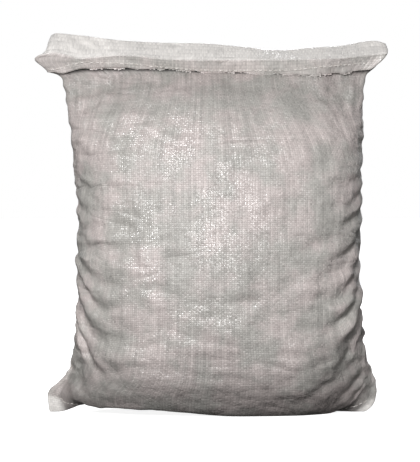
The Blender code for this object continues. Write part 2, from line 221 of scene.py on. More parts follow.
# Dents in the front: x, z, half width, half height, depth
DENTS = (
    (-0.050, 0.228, 0.042, 0.024, 0.0050), (0.060, 0.158, 0.085, 0.018, 0.0044),
    (-0.030, 0.372, 0.085, 0.022, 0.0046), (-0.125, 0.300, 0.028, 0.050, 0.0032),
    (0.120, 0.235, 0.032, 0.040, 0.0034), (-0.110, 0.120, 0.045, 0.020, 0.0040),
    (0.020, 0.085, 0.060, 0.014, 0.0036),
)

# Each pattern reads its own slice of the noise
SLICE = {
    "hem crease": 17.0, "raw edge": 4.0, "hem lump": 12.0, "fold stray": 2.3, "fold strength": 5.1,
    "fold length": 9.7, "lump": 2.0, "small lump": 8.0, "buckle": 31.0,
}

# The cloth simulation
CLOTH_FRAMES = 30
CLOTH_SETTINGS = {
    "quality": 4, "mass": 0.15, "air_damping": 1.0, "tension_stiffness": 40, "compression_stiffness": 40,
    "shear_stiffness": 5, "bending_stiffness": 0.05, "tension_damping": 5.0, "compression_damping": 5.0,
    "shear_damping": 5.0, "bending_damping": 0.2, "use_pressure": True, "uniform_pressure_force": 2.0,
    "pin_stiffness": 1.0,
}
CLOTH_CAP = 0.016  # no point moves farther than this
CLOTH_CALM = 0.08  # share of its move that a point keeps low down
CALM_LOW = 0.080
CALM_HIGH = 0.150
HELD_FLOOR = (0.022, 0.003)  # heights between which the cloth goes from free to held
HELD_NECK = (0.030, 0.008)  # the same, measured down from the seam
EVEN_ROUNDS = 60
EVEN_SHARE = 0.85

# Stitches
THREAD = 0.0012
THREAD_END = 0.955
THREAD_TWIST = 0.0020
STITCH = 0.0070
SEAM_LEFT = -0.232
SEAM_RIGHT = 0.214
SEAM_STEPS = 240
FAR_OUT = 0.3  # outside the sack on either side, where a look at its face starts
STITCH_STRAY = 0.0003
STITCH_PACE = 2.1
LOOP_WAVE = 0.0009
LOOP_HEIGHT = 0.0004
# One stitch: (share of its length, height above the cloth). It dips through the cloth at its ends.
STITCH_PROFILE = ((0.0, -0.0009), (0.14, 0.0004), (0.36, 0.0007), (0.58, 0.0004), (0.70, -0.0009))

# Lattice
COLUMNS = 80
COLUMN_PULL = 0.55
TAIL_ROWS = 3
FRONT_BASE_ROWS = 8
WALL_ROWS = 84
PATH_STEPS = 400

# Patterns in the cloth's material. A metre of cloth holds this many of each.
PEBBLES = 95.0  # stones about 10 mm across
PRESSED_LINES = (9.0, 9.0, 30.0)  # long creases, about 30 mm apart
PRESSED_SLANT = 0.45  # radians
CREASED_AREAS = 9.0  # about 110 mm across
BLOTCHES = 17.0  # about 60 mm
WORN_AREAS = 14.0  # about 70 mm
STREAKS = 9.0  # a tape changes tone about every 110 mm
EVEN_START = 10000.0  # an even number that keeps the tapes' count above nought

# Studio
PIXEL = 0.001425  # metres of the sack's middle plane in one pixel of the picture
FRAME_WIDTH, FRAME_HEIGHT = 420, 462
CENTRE_X, FLOOR_ROW = 215, 413
DISTANCE = 2.6
ELEVATION = math.radians(3)
SENSOR = 24
FLOOR_HALF = 6.0
# Name, place, the point it faces, diameter, power
LAMPS = (
    ("key", (-0.32, -1.5, 0.80), (0.0, 0.0, 0.28), 0.5, 22.5),
    ("back_fill", (0.15, 1.7, 1.25), (0.0, 0.0, 0.27), 0.6, 26.0),
    ("low_fill", (0.12, -1.5, 0.24), (0.0, 0.0, 0.22), 0.5, 2.5),
)

# Half width up each side, as shares of HALF, against shares of SEWN_HEIGHT
LEFT_OUTLINE = (
    (0.000, 0.950), (0.050, 0.954), (0.082, 0.892), (0.116, 0.838), (0.200, 0.806), (0.360, 0.787),
    (0.560, 0.790), (0.720, 0.803), (0.860, 0.836), (0.960, 0.861), (0.985, 0.884), (1.000, 0.950),
)
RIGHT_OUTLINE = (
    (0.000, 0.862), (0.020, 0.906), (0.060, 0.926), (0.105, 0.912), (0.150, 0.880), (0.220, 0.838),
    (0.360, 0.826), (0.560, 0.830), (0.800, 0.841), (0.940, 0.846), (0.985, 0.862), (1.000, 0.885),
)
# The same up each end of the hem, against shares of its height
LEFT_HEM_END = ((0.00, 0.950), (0.10, 0.985), (0.26, 1.020), (0.44, 0.960), (0.75, 0.944), (1.00, 0.926))
RIGHT_HEM_END = ((0.00, 0.885), (0.20, 0.930), (0.45, 0.970), (0.70, 0.981), (1.00, 0.966))
# Share of the belly's depth, against shares of SEWN_HEIGHT
BELLY_OUTLINE = (
    (0.000, 0.57), (0.012, 0.63), (0.045, 0.725), (0.110, 0.850), (0.220, 0.965), (0.380, 1.00),
    (0.600, 0.92), (0.730, 0.815), (0.840, 0.64), (0.920, 0.42), (0.970, 0.19), (1.000, 0.045),
)
# Creases in the front, most of them swags that hang from the side creases:
# (x and z of one end, x and z of the other, half width, depth)
FRONT_CREASES = (
    (-0.170, 0.470, -0.110, 0.452, 0.0065, 0.0026), (0.020, 0.466, 0.100, 0.458, 0.0070, 0.0020),
    (0.198, 0.232, 0.140, 0.216, 0.0050, 0.0038), (0.200, 0.176, 0.130, 0.152, 0.0055, 0.0040),
    (-0.196, 0.236, -0.150, 0.243, 0.0060, 0.0040), (-0.150, 0.243, -0.108, 0.215, 0.0060, 0.0026),
    (-0.190, 0.207, -0.115, 0.182, 0.0060, 0.0034), (-0.196, 0.184, -0.150, 0.161, 0.0055, 0.0038),
    (-0.197, 0.122, -0.164, 0.062, 0.0060, 0.0050), (-0.164, 0.062, -0.128, 0.034, 0.0060, 0.0034),
    (-0.203, 0.100, -0.204, 0.062, 0.0050, 0.0040), (-0.204, 0.062, -0.180, 0.018, 0.0055, 0.0046),
    (-0.185, 0.108, -0.122, 0.046, 0.0060, 0.0030), (-0.150, 0.140, -0.085, 0.110, 0.0070, 0.0022),
    (0.205, 0.190, 0.156, 0.178, 0.0060, 0.0036), (0.203, 0.156, 0.172, 0.134, 0.0055, 0.0036),
    (0.204, 0.214, 0.160, 0.206, 0.0055, 0.0030), (0.207, 0.156, 0.148, 0.116, 0.0060, 0.0042),
    (0.215, 0.113, 0.160, 0.058, 0.0060, 0.0066), (0.228, 0.092, 0.130, 0.026, 0.0060, 0.0074),
    (0.226, 0.072, 0.172, 0.014, 0.0050, 0.0070), (0.218, 0.100, 0.176, 0.066, 0.0045, 0.0046),
    (0.160, 0.084, 0.105, 0.058, 0.0070, 0.0036), (0.225, 0.052, 0.190, 0.012, 0.0045, 0.0056),
    (0.203, 0.236, 0.168, 0.232, 0.0050, 0.0026), (0.150, 0.098, 0.095, 0.076, 0.0070, 0.0024),
    (0.120, 0.160, 0.060, 0.132, 0.0080, 0.0022), (0.165, 0.250, 0.120, 0.236, 0.0070, 0.0018),
    (-0.060, 0.150, 0.045, 0.146, 0.0070, 0.0022), (-0.040, 0.116, 0.060, 0.098, 0.0075, 0.0024),
    (-0.120, 0.078, -0.030, 0.062, 0.0070, 0.0024), (-0.025, 0.062, 0.110, 0.050, 0.0060, 0.0022),
    (-0.100, 0.352, 0.036, 0.350, 0.0080, 0.0016), (-0.155, 0.330, -0.120, 0.300, 0.0070, 0.0018),
    (-0.204, 0.486, -0.200, 0.415, 0.0080, 0.0085), (-0.190, 0.484, -0.182, 0.425, 0.0055, 0.0050),
    (-0.178, 0.484, -0.166, 0.440, 0.0055, 0.0024), (-0.150, 0.482, -0.140, 0.430, 0.0060, 0.0016),
    (0.203, 0.486, 0.203, 0.420, 0.0070, 0.0080), (0.190, 0.484, 0.184, 0.436, 0.0055, 0.0055),
    (0.174, 0.484, 0.160, 0.446, 0.0055, 0.0020), (-0.090, 0.470, 0.020, 0.462, 0.0070, 0.0014),
    (-0.194, 0.366, -0.170, 0.367, 0.0050, 0.0040), (-0.194, 0.346, -0.166, 0.334, 0.0050, 0.0042),
    (-0.196, 0.320, -0.121, 0.325, 0.0050, 0.0036), (-0.194, 0.294, -0.138, 0.286, 0.0050, 0.0038),
    (-0.190, 0.264, -0.120, 0.270, 0.0050, 0.0030), (-0.140, 0.345, -0.092, 0.332, 0.0055, 0.0020),
    (0.204, 0.353, 0.172, 0.344, 0.0050, 0.0038), (0.206, 0.318, 0.164, 0.300, 0.0055, 0.0042),
    (0.206, 0.276, 0.156, 0.268, 0.0050, 0.0036), (0.190, 0.334, 0.140, 0.330, 0.0055, 0.0022),
    (-0.088, 0.186, -0.020, 0.162, 0.0095, 0.0046), (0.046, 0.168, -0.020, 0.162, 0.0090, 0.0040),
    (0.110, 0.190, 0.046, 0.168, 0.0095, 0.0040), (-0.118, 0.262, -0.050, 0.250, 0.0075, 0.0034),
    (0.020, 0.257, -0.050, 0.250, 0.0075, 0.0030), (-0.064, 0.300, -0.030, 0.272, 0.0070, 0.0026),
    (-0.110, 0.222, -0.075, 0.196, 0.0065, 0.0030), (-0.070, 0.128, -0.020, 0.118, 0.0080, 0.0030),
    (-0.080, 0.238, -0.020, 0.212, 0.0075, 0.0024), (0.010, 0.236, 0.080, 0.220, 0.0080, 0.0018),
)
# Heights along the hem, from its left end to its right end: (share of the half width, height).
# The top edge's are counted from the hem's turn.
RAW_EDGE = (
    (-1.00, 0.4850), (-0.90, 0.4850), (-0.82, 0.4880), (-0.70, 0.4895), (-0.48, 0.4900), (-0.28, 0.4885),
    (-0.05, 0.4855), (0.20, 0.4845), (0.43, 0.4820), (0.66, 0.4815), (0.82, 0.4840), (1.00, 0.4880),
)
STITCHES = (
    (-1.00, 0.4870), (-0.90, 0.4885), (-0.82, 0.4945), (-0.74, 0.4985), (-0.66, 0.4980), (-0.48, 0.4960),
    (-0.28, 0.4910), (-0.05, 0.4872), (0.20, 0.4868), (0.43, 0.4876), (0.60, 0.4916), (0.77, 0.4958),
    (1.00, 0.4985),
)
CREASE = (
    (-1.00, 0.5080), (-0.94, 0.5110), (-0.86, 0.5070), (-0.79, 0.5030), (-0.74, 0.5044), (-0.60, 0.5070),
    (-0.48, 0.5070), (-0.28, 0.5020), (0.20, 0.5015), (0.77, 0.5030), (0.87, 0.5060), (1.00, 0.5110),
)
TOP_EDGE = (
    (-1.00, 0.0165), (-0.78, 0.0120), (-0.55, 0.0050), (-0.30, 0.0020), (-0.05, 0.0010), (0.20, -0.0040),
    (0.42, -0.0085), (0.62, -0.0050), (0.80, -0.0020), (0.93, 0.0045), (1.00, 0.0050),
)
HEM_TURN_HEIGHT = 0.036
# Where the flap stands in Y at its raw edge, at the crease and at the top: under 0 is forward
LEAN = (-0.0100, -0.0235, 0.0065)
CREASE_LEFT = 1.25  # times as far forward at each end's crease
CREASE_RIGHT = 0.55
# Front rows of the hem: (place, share along it). The slit runs up behind the flap.
HEM_ROWS = (
    [("slit", s) for s in (0.0, 0.5, 1.0)]
    + [("inside", s) for s in (0.6, 0.0)]
    + [("outside", s) for s in (0.0, 0.35, 0.75, 0.93, 1.07, 1.25, 1.5, 1.75, 1.9, 1.97, 2.04, 2.12)]
    + [("outside", s) for s in (2.25, 2.4, 2.55, 2.7, 2.85, 2.96, 3.0)]
)


def smooth_step(low, high, value):
    share = min(1.0, max(0.0, (value - low) / (high - low)))
    return share * share * (3 - 2 * share)


def mix(start, end, share):
    return start + (end - start) * share


def on_curve(points, value):
    """The height at value of a smooth curve through (value, height) points."""
    last = len(points) - 1
    value = min(max(value, points[0][0]), points[last][0])
    span = next(i for i in range(last) if value <= points[i + 1][0])
    (x0, y0), (x1, y1) = points[span], points[span + 1]
    before, after = points[max(span - 1, 0)], points[min(span + 2, last)]
    slope_in = (y1 - before[1]) / (x1 - before[0])
    slope_out = (after[1] - y0) / (after[0] - x0)
    width = x1 - x0
    t = (value - x0) / width
    return (
        (1 + 2 * t) * (1 - t) ** 2 * y0
        + t * (1 - t) ** 2 * width * slope_in
        + t * t * (3 - 2 * t) * y1
        - t * t * (1 - t) * width * slope_out
    )


def evenly(path, count):
    """Points spaced evenly along a path of (depth, height) points, and the path's length."""
    lengths = [0.0]
    for a, b in zip(path, path[1:]):
        lengths.append(lengths[-1] + math.dist(a, b))
    found = []
    for i in range(count + 1):
        wanted = lengths[-1] * i / count
        span = next((k for k in range(1, len(path)) if lengths[k] >= wanted), len(path) - 1)
        stretch = lengths[span] - lengths[span - 1]
        share = (wanted - lengths[span - 1]) / stretch
        a, b = path[span - 1], path[span]
        found.append((mix(a[0], b[0], share), mix(a[1], b[1], share)))
    return found, lengths[-1]


class Row:
    """One row of the lattice. cloth is how far up the flat cloth it lies."""

    def __init__(self, zone, depth, height, side_height, cloth, dent=0.0):
        self.zone = zone
        self.depth = depth
        self.height = height
        self.side_height = side_height
        self.cloth = cloth
        self.dent = dent


def base_depths():
    """The front panel's rows under the base, from the tail's fold to the front edge: (depth, dent)."""
    seam = TAIL_FOLD - TAIL_WIDTH
    depths = [(mix(TAIL_FOLD, seam + GROOVE, i / TAIL_ROWS), 0.0) for i in range(TAIL_ROWS + 1)]
    depths += [(seam + GROOVE / 2, GROOVE_DEPTH), (seam - GROOVE / 2, GROOVE_DEPTH)]
    depths.append((seam - GROOVE, 0.0))
    for i in range(1, FRONT_BASE_ROWS + 1):
        depths.append((mix(seam - GROOVE, -BASE_FRONT, i / FRONT_BASE_ROWS), 0.0))
    return depths


def panel_rows(side):
    """A panel's rows from the tail's fold, under the base, up the wall and over the hem."""
    belly = BELLY_FRONT if side < 0 else BELLY_BACK
    depths = base_depths()
    rows = []
    for i, (depth, dent) in enumerate(depths):
        up = TAIL_FOLD - depth
        if side > 0:
            depth, dent = mix(TAIL_FOLD + TAIL_EDGE, BASE_BACK, i / (len(depths) - 1)), 0.0
        rows.append(Row("base", depth, 0.0, up, up, dent))
    crease_start = rows[-1].side_height
    neck = SEWN_HEIGHT - NECK_END
    heights = [neck * i / PATH_STEPS for i in range(PATH_STEPS + 1)]
    outline = [(on_curve(BELLY_OUTLINE, z / SEWN_HEIGHT) * belly, z) for z in heights]
    path, length = evenly(outline, WALL_ROWS)
    for step, (depth, height) in enumerate(path[1:], start=1):
        side_height = mix(crease_start, neck, step / WALL_ROWS)
        cloth = crease_start + length * step / WALL_ROWS
        rows.append(Row("wall", side * depth, height, side_height, cloth))
    start = rows[-1].cloth
    for i, (zone, share) in enumerate(HEM_ROWS):
        if side > 0:
            zone, share = "back", (i + 1) / len(HEM_ROWS)
        rows.append(Row(zone, share, 0.0, 0.0, start + HEM_CLOTH * (i + 1) / len(HEM_ROWS)))
    return rows


def reach(toward, height):
    """How far the side crease stands from the middle, on the left where toward is under 0."""
    outline = LEFT_OUTLINE if toward < 0 else RIGHT_OUTLINE
    return HALF * on_curve(outline, height / SEWN_HEIGHT)


def sway(share, height):
    wave = sum(strength * math.sin(pace * share + start) for strength, pace, start in SWAY_WAVES)
    return HEM_SWAY * wave * smooth_step(SWAY_STARTS, SEWN_HEIGHT, height)


def neck_share(height):
    return smooth_step(SEWN_HEIGHT - NECK_HEIGHT, SEWN_HEIGHT, height)


def fin_width(toward, height):
    """Width of the flat part of the bottom corner, on the left where toward is under 0."""
    widest = CORNER_FIN_LEFT if toward < 0 else CORNER_FIN_RIGHT
    return widest * max(0.0, 1 - height / CORNER_HEIGHT) ** CORNER_CURVE


def tip_lift(share, row):
    """The seam climbs toward the tip of the left corner."""
    if share > 0:
        return 0.0
    above_tail = max(0.0, 1 - (row.side_height - TAIL_WIDTH) / CORNER_HEIGHT)
    part = min(row.side_height / TAIL_WIDTH, above_tail)
    return TIP_LIFT * part * smooth_step(TIP_SHARE, 1.0, abs(share))


def bulge(width_share, height):
    """Share of the full depth at a share of the width, without the corners' taper."""
    full = mix(BASE_ROUND, BELLY_ROUND, smooth_step(0.0, CORNER_HEIGHT, height))
    roundness = mix(full, NECK_ROUND, neck_share(height))
    return max(0.0, 1 - width_share**roundness) ** (1 / roundness)


def corner_profile(width_share, height, share):
    """Depth across the width. Low down it tapers evenly into the flat corners, as a pillow's does."""
    plain = bulge(width_share, height)
    taper = CORNER_TAPER * (1 - width_share)
    low = smooth_step(TAPER_TOP, TAPER_LOW, height) * (TAPER_LEFT if share < 0 else 1.0)
    return mix(plain, min(plain, taper), low * smooth_step(TAPER_INNER, TAPER_OUTER, width_share))


def base_lift(x, height):
    tip = CORNER_TIP - reach(-1, 0.0)
    left = smooth_step(LIFT_STARTS, LIFT_FULL, x)
    left *= smooth_step(tip, tip + LIFT_ENDS * CORNER_FIN_LEFT, x)
    return BASE_LIFT * left * smooth_step(CORNER_HEIGHT, 0.0, height)


def place_on_filling(share, row, side):
    """A point of the cloth round the filling, before its folds and lumps."""
    across = abs(share)
    to_side = smooth_step(FLAT_SHARE, 1.0, across)
    height = mix(row.height, row.side_height, to_side)
    outer = reach(share, height)
    fin = fin_width(share, height)
    body_share = 1 - fin / HALF
    along = min(1.0, across / body_share)
    width_share = mix(math.sin(along * math.pi / 2), along, neck_share(height))
    x = (outer - fin) * width_share
    if across > body_share:
        x += fin * (across - body_share) / (1 - body_share)
    x = math.copysign(x, share)
    x += BELLY_SHIFT * smooth_step(0.0, CORNER_HEIGHT, height) * (1 - neck_share(height)) * (1 - to_side)
    y = row.depth * corner_profile(width_share, height, share)
    if y < 0:
        drawn_in = UNDERCUT * smooth_step(UNDERCUT_STARTS, UNDERCUT_FULL, share)
        y *= 1 - drawn_in * smooth_step(UNDERCUT_TOP, 0.0, height) * (1 - to_side)
    y += side * CLOTH_EDGE / 2 * to_side + sway(share, height)
    z = height + row.dent * (1 - to_side) + base_lift(x, height) + tip_lift(share, row)
    return Vector((x, y, z))


def hem_height(share, along):
    """Height of a point along the flap."""
    marks = [on_curve(line, share) for line in (RAW_EDGE, STITCHES, CREASE)]
    round_off = TOP_CORNER * smooth_step(TOP_CORNER_SHARE, 1.0, abs(share)) ** 2
    marks.append(SEWN_HEIGHT + HEM_TURN_HEIGHT + on_curve(TOP_EDGE, share) - round_off)
    span = min(int(along), 2)
    return mix(marks[span], marks[span + 1], along - span)


def hem_creases(x, z, share):
    """Slanting creases in the upper band, strongest at its left end."""
    slant = x * math.cos(HEM_SLANT) + z * math.sin(HEM_SLANT)
    stray = HEM_CREASE_STRAY * chance(SLICE["hem crease"], x / HEM_CREASE_DRIFT, z / HEM_CREASE_DRIFT)
    wave = math.cos(2 * math.pi * (slant / HEM_CREASE_PITCH + stray)) ** 3
    return HEM_CREASE * wave * mix(HEM_CREASE_LEAST, 1.0, smooth_step(*HEM_CREASE_LEFT, share))


def hem_point(share, along, side):
    """A point of the hem's front face or its back one."""
    at_end = smooth_step(TUCK_SHARE, 1.0, abs(share))
    ear = mix(1.0, CREASE_LEFT if share < 0 else CREASE_RIGHT, at_end)
    z = hem_height(share, along)
    rise = min(1.0, max(0.0, (z - SEWN_HEIGHT) / (HEM_TURN_HEIGHT + on_curve(TOP_EDGE, share))))
    ends = LEFT_HEM_END if share < 0 else RIGHT_HEM_END
    plain = on_curve(ends, 0.0)
    x = HALF * (plain * abs(share) + (on_curve(ends, rise) - plain) * abs(share) ** HEM_END_CURVE)
    raw, crease, top = LEAN
    if along < 2:
        low, high = on_curve(RAW_EDGE, share), on_curve(CREASE, share)
        lean = mix(raw, crease * ear, ((z - low) / (high - low)) ** LEAN_CURVE)
    else:
        lean = mix(crease * ear, top, along - 2)
    y = lean + sway(share, SEWN_HEIGHT)
    if side > 0:
        y += mix(HEM_LAYERS, HEM_TOP, smooth_step(*LAYERS_THIN, along))
    x = math.copysign(x, share)
    if along < JAG_TOP:
        z += JAG * chance(SLICE["raw edge"], x / JAG_SIZE, 0.5)
    slanting = hem_creases(x, z, share)
    y -= slanting * smooth_step(*HEM_CREASE_RISE, along) * smooth_step(*HEM_CREASE_FADE, along)
    lump = chance(SLICE["hem lump"], x / HEM_LUMP_LENGTH, z / HEM_LUMP_HEIGHT)
    y -= HEM_LUMP * lump * smooth_step(*HEM_LUMP_RISE, along)
    return Vector((x, y, z))


def place_on_hem(share, row, side):
    """A point of the hem: its outside, the flap's inside, the slit behind it, or the back panel."""
    if row.zone == "back":
        neck_height = SEWN_HEIGHT - NECK_END
        neck = place_on_filling(share, Row("wall", NECK_BACK, neck_height, neck_height, 0.0), 1)
        if row.depth >= BACK_TURN:
            return hem_point(share, mix(1.0, 3.0, (row.depth - BACK_TURN) / (1 - BACK_TURN)), 1)
        seam = hem_point(share, 1.0, 1)
        part = row.depth / BACK_TURN
        spot = neck.lerp(seam, part)
        spot.y = mix(neck.y, seam.y, part * part)
        return spot
    if row.zone == "outside":
        return hem_point(share, row.depth, side)
    raw = hem_point(share, 0.0, side)
    deep = hem_point(share, SLIT_DEEP, side)
    inside = raw.lerp(deep, row.depth)
    inside.y += FLAP_EDGE
    if row.zone == "slit":
        at_end = smooth_step(TUCK_SHARE - SLIT_BEFORE, TUCK_SHARE + SLIT_PAST, abs(share))
        gap = FLAP_GAP * mix(1.0, SLIT_END, at_end)
        inside.y += mix(gap, SLIT_TOP, row.depth)
    return inside


def place(share, row, side):
    if row.zone in ("base", "wall"):
        return place_on_filling(share, row, side)
    return place_on_hem(share, row, side)


def chance(slice_at, x, z):
    """A smoothly wandering value between -1 and 1, the same on each run."""
    return noise.noise(Vector((x, slice_at, z)))


def side_folds(point, share, row):
    """Folds that start at the side crease, wander, and sink toward the middle."""
    inward = max(0.0, reach(share, point.z) - abs(point.x))
    hand = math.copysign(1.0, share)
    up = row.side_height
    stray = FOLD_WANDER * chance(SLICE["fold stray"] * hand, point.x / FOLD_DRIFT / 2, up / FOLD_DRIFT)
    ridge = math.cos(2 * math.pi * (up / FOLD_PITCH + stray + hand / 4))
    uneven = 1 + FOLD_UNEVEN * chance(SLICE["fold strength"] * hand, point.y / FOLD_DRIFT, up / FOLD_CHANGE)
    longer = 1 + FOLD_UNEVEN * chance(SLICE["fold length"] * hand, point.y / FOLD_DRIFT, up / FOLD_CHANGE)
    near_side = smooth_step(FOLD_REACH * longer, CREASE_SPAN / 2, inward)
    crease = mix(CREASE_SHARE, 1.0, smooth_step(0.0, CREASE_SPAN, inward))
    height = mix(row.height, up, FOLD_ARCH)
    strength = mix(1.0, FOLD_LEAST, smooth_step(FOLD_FADE_LOW, FOLD_FADE_HIGH, height))
    clear_of_fin = smooth_step(FOLD_CLEAR, 2 * FOLD_CLEAR, point.z + inward)
    clear_of_base = smooth_step(FOLD_BASE, CORNER_HEIGHT, point.z)
    return FOLD * ridge * uneven * near_side * crease * strength * clear_of_fin * clear_of_base


def crease_depth(point, start, end, width, depth):
    """A valley with raised lips along a line, dying out at its ends."""
    along = end - start
    offset = Vector((point.x, point.z)) - start
    share = min(1.0, max(0.0, offset.dot(along) / along.length_squared))
    far = (offset - along * share).length / width
    if far > VALLEY_REACH:
        return 0.0
    fade = mix(1.0, VALLEY_FADE, share)
    lips = VALLEY_LIPS * math.exp(-((far / LIP_WIDTH) ** 2))
    return depth * fade * (VALLEY * math.exp(-far * far) - lips)


def dents(point, share, side):
    """Lumps of the filling, less the tucks, the dents and the pressed creases."""
    lumps = LUMP * chance(SLICE["lump"] * side, point.x / LUMP_SIZE, point.z / LUMP_SIZE)
    small = chance(SLICE["small lump"] * side, point.x / SMALL_LUMP_SIZE, point.z / SMALL_LUMP_SIZE)
    lumps += SMALL_LUMP * small
    below = SEWN_HEIGHT - point.z
    tuck = TUCK * math.exp(-(((abs(share) - TUCK_SHARE) / TUCK_WIDTH) ** 2))
    tuck *= smooth_step(TUCK_LENGTH, TUCK_LENGTH / 2, below) * smooth_step(TUCK_TOP, 3 * TUCK_TOP, below)
    pressed = 0.0
    if side < 0:
        for x, z, width, height, depth in DENTS:
            pressed += depth * math.exp(-(((point.x - x) / width) ** 2) - ((point.z - z) / height) ** 2)
        inward = reach(share, point.z) - abs(point.x)
        clear_of_side = mix(PRESSED_SIDE, 1.0, smooth_step(PRESSED_CLEAR, CREASE_SPAN, inward))
        for x0, z0, x1, z1, width, depth in FRONT_CREASES:
            pressed += clear_of_side * crease_depth(point, Vector((x0, z0)), Vector((x1, z1)), width, depth)
    lift = lumps * smooth_step(1.0, 1 - TUCK_WIDTH, abs(share)) - tuck - pressed
    return max(lift, -PRESSED_MOST * abs(point.y))


def cloth_lift(point, share, row, side):
    """How far a point of the wall stands out of the smooth sack."""
    above_base = smooth_step(0.0, SMOOTH_BASE, point.z)
    below_neck = smooth_step(SEWN_HEIGHT, SEWN_HEIGHT - SMOOTH_NECK, point.z)
    near_side = smooth_step(*BUCKLE_SIDE, abs(share))
    across, up = point.x / BUCKLE_SIZE / BUCKLE_LENGTH, row.side_height / BUCKLE_SIZE
    buckle = BUCKLE * (BUCKLE_LEAST + near_side) * chance(SLICE["buckle"] * side, across, up)
    return (side_folds(point, share, row) + dents(point, share, side) + buckle) * above_base * below_neck


def lattice(columns, rows):
    """A unit block, cut into columns across X and rows up Z, one cell deep in Y."""
    mesh = bmesh.new()
    bmesh.ops.create_cube(mesh, size=1.0)
    for axis, count in ((0, columns), (2, rows)):
        along = [e for e in mesh.edges if abs(e.verts[0].co[axis] - e.verts[1].co[axis]) > 0.5]
        bmesh.ops.subdivide_edges(mesh, edges=along, cuts=count - 1, use_grid_fill=True)
    return mesh


def crowd(share):
    """Moves the columns toward the sides, where the folds are."""
    return mix(share, math.sin(share * math.pi / 2), COLUMN_PULL)


def flat_cloth(share, row, side):
    """A point's place on the flat cloth: along the way round the tube, and up."""
    across = share * HALF
    return (across if side < 0 else 2 * HALF - across), row.cloth


def past_filling(point):
    """How far a point lies outside the filling, in the flat part of a corner."""
    return abs(point.x) - reach(point.x, point.z) + fin_width(point.x, point.z)


def on_tail(row):
    """1 on the sewn tail and 0 above it."""
    return smooth_step(TAIL_WIDTH + TAIL_PAST, TAIL_WIDTH - TAIL_INSIDE, row.side_height)


def stone_tone_and_flap_shade(point, row):
    """1 where stones lie behind the cloth: all of it but the hem's upper band and the corners.

    The flap lies on the full neck. Below its crease it is drawn with most of the stones' grey, painted shade
    of a band that faces down.
    """
    if row.zone == "outside":
        # Painted shade: the flap's face below its crease gets most of the stones' grey.
        return FLAP_PAINTED_SHADE * smooth_step(*FLAP_SHADE_CREASE, row.depth)
    if row.zone == "back":
        return smooth_step(*NECK_BACKED, row.depth)
    return 1 - smooth_step(*FIN_EDGE, past_filling(point)) * mix(FIN_EMPTY, TAIL_EMPTY, on_tail(row))


def dust_and_shade_amount(point, row):
    """How much the cloth is greyed and made matter: round the base, at the floor, and partly under the hem.

    Round the base it is pumice dust and handling, with painted shade where the belly turns under,
    and painted contact shade at the floor. Under the hem it is painted shade. The slit behind the flap
    gets more, a painted shadow, which draws the dark line under the raw edge.
    """
    # Painted shadow in the slit: the dark line under the raw edge.
    if row.zone == "slit":
        return SLIT_SHADOW
    if row.zone not in ("base", "wall"):
        return 0.0
    on_corner = smooth_step(*LESS_DARKENED_EDGE, past_filling(point))
    on_corner *= smooth_step(CORNER_HEIGHT, CORNER_HEIGHT / 2, point.z)
    # Painted contact shade where the cloth meets the floor.
    at_floor = FLOOR_CONTACT_SHADE * smooth_step(FLOOR_SHADE_TOP, FLOOR_SHADE_FULL, point.z)
    # Dust and handling round the base, with painted shade where the belly turns under.
    low = smooth_step(DUST_AND_SHADE_LOW, 0.0, point.z) + at_floor
    low *= 1 - on_corner * mix(LESS_DARKENED_CORNER, 1.0, on_tail(row))
    # Painted shade just under the hem.
    neck = smooth_step(SEWN_HEIGHT - NECK_SHADE_SPAN, SEWN_HEIGHT - NECK_SHADE_TOP, point.z)
    return max(low, NECK_SHADE * neck)


def holding(point, row):
    """How firmly a point of the cloth keeps its place while the rest settles: 1 is fixed."""
    if row.zone not in ("base", "wall"):
        return 1.0
    free, held = HELD_NECK
    near_floor = smooth_step(*HELD_FLOOR, point.z)
    near_neck = smooth_step(SEWN_HEIGHT - free, SEWN_HEIGHT - held, point.z)
    return max(near_floor, near_neck)


def add_object(name, data):
    made = bpy.data.objects.new(name, data)
    bpy.context.scene.collection.objects.link(made)
    return made


def build_sack():
    """The sack's closed surface, with a UV map in metres of flat cloth."""
    rows = {side: panel_rows(side) for side in (-1, 1)}
    count = len(rows[-1]) - 1
    shape = lattice(COLUMNS, count)
    cloth = shape.loops.layers.uv.new("cloth")
    flat_at = shape.verts.layers.float_vector.new("flat_at")
    hold = shape.verts.layers.float.new("hold")
    stone_tone_and_shade = shape.verts.layers.float.new("stone_tone_and_shade")
    dust_and_shade = shape.verts.layers.float.new("dust_and_shade")
    spots = {}
    lifted = []
    for vertex in shape.verts:
        share = crowd(2 * vertex.co.x)
        side = 1 if vertex.co.y > 0 else -1
        row = rows[side][round((vertex.co.z + 0.5) * count)]
        spots[vertex] = (share, row, side)
        vertex.co = place(share, row, side)
        if row.zone == "wall":
            if share >= 1:
                vertex.co.x += PINCH * smooth_step(PINCH_SPAN, 0.0, abs(vertex.co.z - PINCH_HEIGHT))
            lifted.append((vertex, cloth_lift(vertex.co, share, row, side)))
    for face in shape.faces:
        corners = [flat_cloth(*spots[loop.vert]) for loop in face.loops]
        turn = max(c[0] for c in corners) - min(c[0] for c in corners) > HALF
        for loop, (across, up) in zip(face.loops, corners):
            loop[cloth].uv = (across - 4 * HALF if turn and across > HALF else across, up)
    shape.normal_update()
    moves = [(vertex, vertex.normal * lift) for vertex, lift in lifted]
    for vertex, move in moves:
        vertex.co += move
    for vertex in shape.verts:
        share, row, side = spots[vertex]
        vertex[flat_at] = (share * HALF, side * CLOTH_EDGE / 2, row.cloth)
        vertex[hold] = holding(vertex.co, row)
        # Stones' tone, and painted shade on the flap below its crease.
        vertex[stone_tone_and_shade] = stone_tone_and_flap_shade(vertex.co, row)
        # Dust, and painted shade round the base, at the floor, under the hem and in the slit.
        vertex[dust_and_shade] = dust_and_shade_amount(vertex.co, row)
    bmesh.ops.recalc_face_normals(shape, faces=shape.faces)
    mesh = bpy.data.meshes.new("sack_cloth")
    shape.to_mesh(mesh)
    shape.free()
    mesh.shade_smooth()
    return add_object("sack_cloth", mesh)


